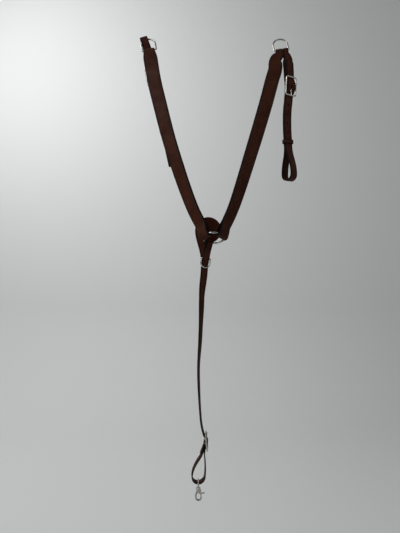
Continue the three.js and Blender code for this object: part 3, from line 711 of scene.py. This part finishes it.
right_tug_start = DEES["right"][0] + DEES["right"][1] * 9.7
TUGS = {
    "left": dict(
        length=347, fold=(5.6, 4.5), fold_width=20, loop=(8, 282),
        points=[
            left_tug_start(), V(-186.2, -15.4, -8), V(-182.2, -14.4, -24), V(-175.2, -13.1, -66),
            V(-154, -12.6, -160), V(-131.8, -12.6, -250), V(-110, -12.6, -345)],
        start_width=V(0.952, 0.1, 0.305), turns=turning([(0, 3), (60, 3), (400, 3)])),
    "right": dict(
        length=353, fold=(DEE_WIRE + GAP + LEATHER / 2, 0), fold_width=14.2, loop=(15.5, 254),
        points=[
            right_tug_start, right_tug_start + V(1.7, 0, -11.9), V(194.8, BAR_Y, -46),
            V(198.8, BAR_Y, -68), V(201.8, BAR_Y, -98), V(202.3, BAR_Y, -126), V(197.5, BAR_Y, -162),
            V(194.5, BAR_Y, -190), V(194, BAR_Y, -235), V(196, BAR_Y, -275.5), V(198.5, BAR_Y, -320),
            V(200.5, BAR_Y, -380)],
        start_width=DEES["right"][1],
        turns=turning([(0, 0), (4, 0), (46, 24), (250, 24), (300, 36), (400, 36)])),
}


def buckle_heights():
    """The centre bar's height, a fold's radius round it, and the height of leather under the frame."""
    bar_at = FRAME_AT - BUCKLE_DROP
    wrap = BUCKLE_BAR + GAP + LEATHER / 2
    return bar_at, wrap, FRAME_AT - BUCKLE_WIRE - GAP - LEATHER / 2


def tug_path(fold, loop, length):
    """The end of the fold at the buckle, round the centre bar, over the dee, down the back, round the
    loop, and up the front to the billet's tip."""
    fold_radius, fold_length = fold
    loop_radius, loop_start = loop
    step = LEATHER + GAP
    bar_at, wrap, under = buckle_heights()
    over = bar_at + wrap + step
    top_bar = TUG_BUCKLE - TUG_FRAME[1]
    low_bar = TUG_BUCKLE + TUG_FRAME[1]
    bottom = length - loop_radius
    layer = LEATHER / 2 + GAP / 2
    chape = under - step
    return [
        (TUG_CHAPE, chape - step + 1.6), (top_bar - 6, chape - step + 0.1), (top_bar + 3, chape - step),
        (TUG_BUCKLE - 10, chape - step + 1.2),
        *arc(TUG_BUCKLE, bar_at, wrap, -100, 100, 14),
        (TUG_BUCKLE - 10, bar_at + wrap - 2.7), (top_bar + 3, chape + 0.1), (top_bar - 6, chape + 0.1),
        (TUG_CHAPE, chape + 2.6), (22, fold_radius * 0.5), (4 + fold_length, fold_radius),
        *arc(-fold_length, 0, fold_radius, 90, 270, 16),
        (4 + fold_length, -fold_radius), (22, chape - step - 0.9), (TUG_CHAPE, chape - 2 * step + 0.9),
        (top_bar - 6, chape - 2 * step - 0.2), (top_bar + 3, chape - 2 * step - 0.2),
        (TUG_BUCKLE, bar_at - wrap - step - 0.4), (low_bar, under - step - 0.5), (low_bar + 18, -layer),
        *evenly(TUG_JOIN, loop_start, -layer, 6),
        *bend((loop_start + 6, -layer), (loop_start + 30, -layer),
              (bottom - 34, -loop_radius), (bottom, -loop_radius)),
        *arc(bottom, 0, loop_radius, -75, 75, 18),
        *bend((bottom, loop_radius), (bottom - 34, loop_radius),
              (loop_start + 30, layer), (loop_start + 6, layer)),
        *evenly(loop_start, TUG_JOIN, layer, 6),
        (low_bar + 18, layer), (low_bar + 4, under + 0.2), (low_bar - 4, under + 0.2),
        (TUG_BUCKLE + 8, over - 1.2), (TUG_BUCKLE, over), (TUG_BUCKLE - 8, over - 1.2),
        (top_bar + 4, under + 0.1), (top_bar - 4, under + 0.1), (46, chape + step + 2.8),
        (TUG_BILLET, chape + step + 4.7),
    ]


def tongue_slots(spine, s, direction):
    """Cutters that let the tongue pass through the fold round the bar and through the billet."""
    bar_at, _, _ = buckle_heights()
    return [slot_tool(spine, s, bar_at, (4, 9.6, 9.6)),
            slot_tool(spine, s - direction * 8.5, bar_at + 6, (4, 20, 14))]


def make_buckle(body, spine, s, size, direction):
    """A frame with its sunk centre bar, and a tongue; direction is 1 when the tongue points up."""
    origin, along, x, _ = spine.at(s, FRAME_AT)
    y = -along
    half_width, half_length = size
    outline = placed(frame_outline(*size), origin, x, y)
    frame_wire = wire(f"{body}_frame_nickel", outline, BUCKLE_WIRE, True, np.cross(x, y))
    drop = BUCKLE_DROP
    bar = [(-half_width, 0, 0), (0.6 - half_width, 0, -drop * 0.7), (1.9 - half_width, 0, -drop),
           (half_width - 1.9, 0, -drop), (half_width - 0.6, 0, -drop * 0.7), (half_width, 0, 0)]
    centre_bar = wire("bar", placed(bar, origin, x, y), BUCKLE_BAR, False, y)
    finish(boolean(frame_wire, [centre_bar], "UNION"), body, "nickel", NICKEL, f"{body}_buckle_frame")
    eye = BUCKLE_BAR + GAP + TONGUE_WIRE
    tip = np.array([half_length + 2.5, BUCKLE_WIRE + GAP + TONGUE_WIRE])
    curl = arc(0, -drop, eye, -215, 62, 24)
    straight = [tuple(mix(np.array(curl[-1]), tip, t)) for t in (0.2, 0.4, 0.6, 0.8, 0.9, 0.95, 0.98, 1)]
    points = [(0, direction * a, b) for a, b in curl + straight]
    radii = rounded_wire_ends(TONGUE_WIRE, len(points), 3)
    tongue = wire(f"{body}_tongue_nickel", placed(points, origin, x, y), radii, False, x, 14)
    finish(tongue, f"{body}_tongue", "nickel", NICKEL, f"{body}_buckle_tongue")


def make_keeper(side, spine):
    """A narrow leather band round the two layers of the tug."""
    origin, along, x, y = spine.at(TUG_KEEPER)
    half_w = (TUG_WIDTH + 1.2 + KEEPER_LEATHER) / 2
    half_d = (2 * LEATHER + 1.6 + KEEPER_LEATHER) / 2
    loop = frame_outline(half_w, half_d, KEEPER_CORNER - KEEPER_LEATHER / 2)
    verts = []
    edge = []
    ring = section(KEEPER_HEIGHT / 2, KEEPER_LEATHER)
    for i, (u, v) in enumerate(loop):
        before, after = loop[i - 1], loop[(i + 1) % len(loop)]
        run = unit(np.array([after[0] - before[0], after[1] - before[1]]))
        out = x * run[1] - y * run[0]
        centre = origin + x * u + y * v
        for a, b, e in ring:
            verts.append(centre + along * a + out * b)
            edge.append(e)
    faces = tube_faces(len(loop), len(ring), closed=True)
    keeper = mesh_object(f"{side}_keeper_leather", verts, faces, edge)
    finish(keeper, f"{side}_tug_keeper", "strap_leather", STRAP, f"{side}_tug_keeper")


def make_tug(side, length, fold, fold_width, loop, points, start_width, turns):
    spine = Spine(points, lambda s: mix(start_width, turns(s), smoothstep(s, 2, 40)))

    def width(s):
        return mix(fold_width, TUG_WIDTH, smoothstep(s, 6, 34))

    band = Band(spine, tug_path(fold, loop, length), width, LEATHER, ("last",), (-1,))
    strap = band_object(f"{side}_tug_leather", band)
    billet = [band.nearest(TUG_BUCKLE + HOLE_STEP * n, lambda h: h >= 0.8) for n in (2, 3, 4, 5)]
    boolean(strap, tongue_slots(spine, TUG_BUCKLE, -1) + drill(band, billet))
    body = f"{side}_tug"
    finish(strap, body, "strap_leather", STRAP, f"{side}_tug_strap")
    make_buckle(body, spine, TUG_BUCKLE, TUG_FRAME, -1)
    make_keeper(side, spine)
    first, last = (band.nearest(s, lambda h: h <= -7) for s in (46, 72))
    sewn = stitches(f"{side}_tug_stitching", [(band, first, last, -1)])
    finish(sewn, body, "strap_leather", THREAD_BROWN)


# Girth strap

def girth_width(s):
    return TAB_WIDTH if s < GIRTH_TAB else GIRTH_WIDTH


girth_at, girth_tangent = on_ring(GIRTH_ON_RING, GIRTH_WIDTH)
girth_points = [
    *square_to(girth_at, girth_tangent, V(-20.5, -16, -568)), V(-20.7, -16, -568), V(-26, -15, -596),
    V(-29, -14.5, -632), V(-33.4, -14, -676), V(-35.5, -13.6, -744), V(-38.3, -13.5, -812),
    V(-42.4, -13.5, -882), V(-40.9, -13.5, -951), V(-36.5, -13.5, -1021), V(-34, -13.5, -1046),
    V(-30, -13.5, -1064), V(-25.6, -13.5, -1084), V(-28.5, -13.5, -1113), V(-39, -13.5, -1148),
    V(-44, -13.5, -1172), V(-44.7, -13.5, -1197.5)]
girth_turns = turning([(0, 18), (50, 14), (90, 17), (160, 46), (240, 61), (360, 74), (480, 81), (540, 86),
                       (590, 95), (700, 95)])
girth_start_width = girth_tangent * np.sign(girth_tangent[0])
girth_spine = Spine(girth_points, lambda s: mix(girth_start_width, girth_turns(s), smoothstep(s, 4, 50)))
GIRTH_BOTTOM = girth_spine.length - 3  # middle of the leather at the loop's bottom
GIRTH_BUCKLE = GIRTH_BOTTOM - 114


def girth_path():
    """The tab's end, round the ring, down the back, up through the buckle, round the loop, and the
    fold round the centre bar."""
    step = LEATHER + GAP
    ring_fold = ring_fold_radius(GIRTH_WIDTH)
    layer = LEATHER / 2 + GAP / 2
    tie_at = TIE_WIRE + GAP
    hump = TIE_WIRE + GAP + LEATHER / 2
    bar_at, wrap, under = buckle_heights()
    over = bar_at + wrap + step
    half = GIRTH_FRAME[1]
    centre = GIRTH_BOTTOM - GIRTH_LOOP
    return [
        (GIRTH_TAB, layer + 0.1), (GIRTH_TIE + 9, layer + 0.2),
        *arc(GIRTH_TIE, tie_at - 0.2, hump, 30, 150, 10),
        (GIRTH_TIE - 9, layer + 0.4), (18, layer + 1.2),
        *arc(0, 0, ring_fold, 80, 280, 16),
        (16, -layer - 0.8), (30, -layer - 0.1), (GIRTH_TIE, -layer - 0.1),
        *evenly(60, GIRTH_BUCKLE - 60, -layer, 50),
        (GIRTH_BUCKLE - half - 8, under), (GIRTH_BUCKLE - half + 4, under + 0.2),
        (GIRTH_BUCKLE - 7, over - 1), (GIRTH_BUCKLE, over), (GIRTH_BUCKLE + 7, over - 1),
        (GIRTH_BUCKLE + half - 4, under + 0.2), (GIRTH_BUCKLE + half + 4, under + 0.3),
        *bend((GIRTH_BUCKLE + half + 12, under + 1), (GIRTH_BUCKLE + half + 30, 9),
              (centre - 26, GIRTH_LOOP), (centre, GIRTH_LOOP)),
        *arc(centre, 0, GIRTH_LOOP, 75, -75, 20),
        *bend((centre, -GIRTH_LOOP), (centre - 26, -GIRTH_LOOP),
              (GIRTH_BUCKLE + half + 30, -8), (GIRTH_BUCKLE + half + 10, under - step - 1.6)),
        (GIRTH_BUCKLE + half, under - step - 0.4), (GIRTH_BUCKLE + 18, under - step - 0.3),
        (GIRTH_BUCKLE + 14, bar_at + wrap - 4.7), (GIRTH_BUCKLE + 9, bar_at + wrap - 2.4),
        *arc(GIRTH_BUCKLE, bar_at, wrap, 80, 280, 14),
        (GIRTH_BUCKLE + 10, bar_at - wrap - 0.4), (GIRTH_BUCKLE + 18, under - 2 * step - 0.4),
        (GIRTH_BUCKLE + half, under - 2 * step - 0.8),
        (GIRTH_BUCKLE + half + 14, under - 2 * step - 3.6),
    ]


def make_girth():
    band = Band(girth_spine, girth_path(), girth_width, LEATHER, ("first", "last"), (1, -1))
    strap = band_object("girth_leather", band)
    holes = [band.nearest(GIRTH_BUCKLE - HOLE_STEP * n, lambda h: h <= 0) for n in (2, 3, 4, 5, 6)]
    boolean(strap, tongue_slots(girth_spine, GIRTH_BUCKLE, 1) + drill(band, holes))
    finish(strap, "girth", "strap_leather", STRAP, "girth_strap")
    make_buckle("girth", girth_spine, GIRTH_BUCKLE, GIRTH_FRAME, 1)
    rows = [(band, first, last, -1) for first, last in ((8, 17), (31, 52))]
    finish(stitches("girth_stitching", rows), "girth", "strap_leather", THREAD_BROWN)


def make_tie_dee():
    """The tie-down dee hangs from the tab with its arc down."""
    point, along, width, front = girth_spine.at(GIRTH_TIE, TIE_WIRE + GAP - 0.2)
    tilt = math.radians(TIE_TILT)
    down = along * math.cos(tilt) + front * math.sin(tilt)
    outline = placed(dee_outline(TIE_HALF, TIE_LEG, DEE_CORNER), point, -width, down)
    dee = wire("tie_dee_nickel", outline, TIE_WIRE, True, np.cross(-width, down))
    finish(dee, "tie_down_dee", "nickel", NICKEL, "tie_down_dee")


# Ring safe

def safe_at(depth):
    """The safe's left and right edges, and how far it stands off and turns, at a depth below its top."""
    disc = math.sqrt(max(SAFE_RADIUS ** 2 - (depth - SAFE_RADIUS) ** 2, 0))
    neck_left = SAFE_LEFT_TAPER * smoothstep(depth, SAFE_RADIUS, 118) - SAFE_RADIUS
    neck_right = SAFE_NECK_RIGHT - SAFE_RIGHT_TAPER * smoothstep(depth, 60, SAFE_LENGTH)
    low = depth > SAFE_RADIUS
    return (neck_left if low else -disc, max(disc, neck_right) if low else disc,
            SAFE_LIFT * smoothstep(depth, 70, 122), SAFE_TURN * smoothstep(depth, 90, 125))


def make_safe():
    """A leather paddle behind the ring that narrows to a neck behind the girth strap."""
    verts = []
    edge = []
    rim = SAFE_RADIUS * (1 - np.cos(np.radians(np.linspace(4, 90, 22))))
    depths = [*rim, *np.linspace(SAFE_RADIUS, SAFE_LENGTH, 40)[1:]]
    for depth in depths:
        left, right, lift, turn = safe_at(depth)
        middle, half = (left + right) / 2, (right - left) / 2
        ring = section(half, LEATHER)
        for x, y, e in ring:
            verts.append(SAFE_AT + V(middle + x, x * turn - lift - y, -depth))
            edge.append(e)
    safe = mesh_object("ring_safe_leather", verts, tube_faces(len(depths), len(ring)), edge)
    finish(safe, "girth", "safe_leather", SAFE, "ring_safe")


# Camera, light and stage, in metres

LENS = 26  # this and the sensor in millimetres
SENSOR = 36
CAMERA_AT = (-0.04, -1.06, -0.608)
FLOOR_Z = -1.75
WALL_Y = 2.4
COVE_RADIUS = 0.8
STAGE_HALF_WIDTH = 5.0
STAGE_FRONT = -4.0
STAGE_TOP = 3.0
STAGE_GREY = (0.74, 0.745, 0.74, 1)
SKY = (0.93, 0.97, 1, 1)
SKY_STRENGTH = 0.2


def make_camera():
    camera = bpy.data.objects.new("camera", bpy.data.cameras.new("camera"))
    camera.data.lens = LENS
    camera.data.sensor_width = SENSOR
    camera.location = CAMERA_AT
    camera.rotation_euler = (math.pi / 2, 0, 0)
    bpy.context.scene.collection.objects.link(camera)
    bpy.context.scene.camera = camera


def area_light(name, place, target, size, power, color):
    light = bpy.data.lights.new(name, "AREA")
    light.shape = "DISK"
    light.size = size
    light.energy = power
    light.color = color
    lamp = bpy.data.objects.new(name, light)
    lamp.location = place
    lamp.rotation_euler = (Vector(target) - Vector(place)).to_track_quat("-Z", "Y").to_euler()
    bpy.context.scene.collection.objects.link(lamp)


def make_stage():
    """A pale sheet: floor, a round cove, and a wall well behind the collar."""
    cove = arc(WALL_Y - COVE_RADIUS, FLOOR_Z + COVE_RADIUS, COVE_RADIUS, -90, 0, 16)
    profile = [(STAGE_FRONT, FLOOR_Z), *cove, (WALL_Y, STAGE_TOP)]
    verts = [(x, y, z) for y, z in profile for x in (-STAGE_HALF_WIDTH, STAGE_HALF_WIDTH)]
    faces = [(2 * i, 2 * i + 1, 2 * i + 3, 2 * i + 2) for i in range(len(profile) - 1)]
    mesh = bpy.data.meshes.new("stage")
    mesh.from_pydata(verts, [], faces)
    mesh.polygons.foreach_set("use_smooth", [True] * len(faces))
    stage = bpy.data.objects.new("stage", mesh)
    bpy.context.scene.collection.objects.link(stage)
    material = bpy.data.materials.new("stage")
    material.use_nodes = True
    shader = material.node_tree.nodes["Principled BSDF"]
    shader.inputs["Base Color"].default_value = STAGE_GREY
    shader.inputs["Roughness"].default_value = 0.9
    mesh.materials.append(material)


def make_light():
    world = bpy.data.worlds.new("studio")
    world.use_nodes = True
    background = world.node_tree.nodes["Background"]
    background.inputs["Color"].default_value = SKY
    background.inputs["Strength"].default_value = SKY_STRENGTH
    scene = bpy.context.scene
    scene.world = world
    scene.view_settings.view_transform = "Standard"
    area_light("window", (-1.6, -1.7, 1.2), (-0.05, 0, -0.4), 1.4, 34, (1, 0.99, 0.97))
    area_light("fill", (1.7, -1.5, 0.1), (0, 0, -0.6), 1.6, 5, (0.95, 0.97, 1))
    area_light("backdrop", (-1.9, 0.5, 1.5), (-0.4, 2.4, 0), 1.4, 42, (1, 1, 1))


make_camera()
make_stage()
make_light()
make_ring()
make_dees()
for side, values in SHOULDERS.items():
    make_shoulder(side, **values)
for side, values in TUGS.items():
    make_tug(side, **values)
make_girth()
make_tie_dee()
make_safe()
# the snap is small enough to keep its CAD shape
for name in ("snap_eye", "snap_body", "snap_lever", "snap_pin"):
    nodes[name].data.materials.clear()
    nodes[name].data.materials.append(NICKEL)
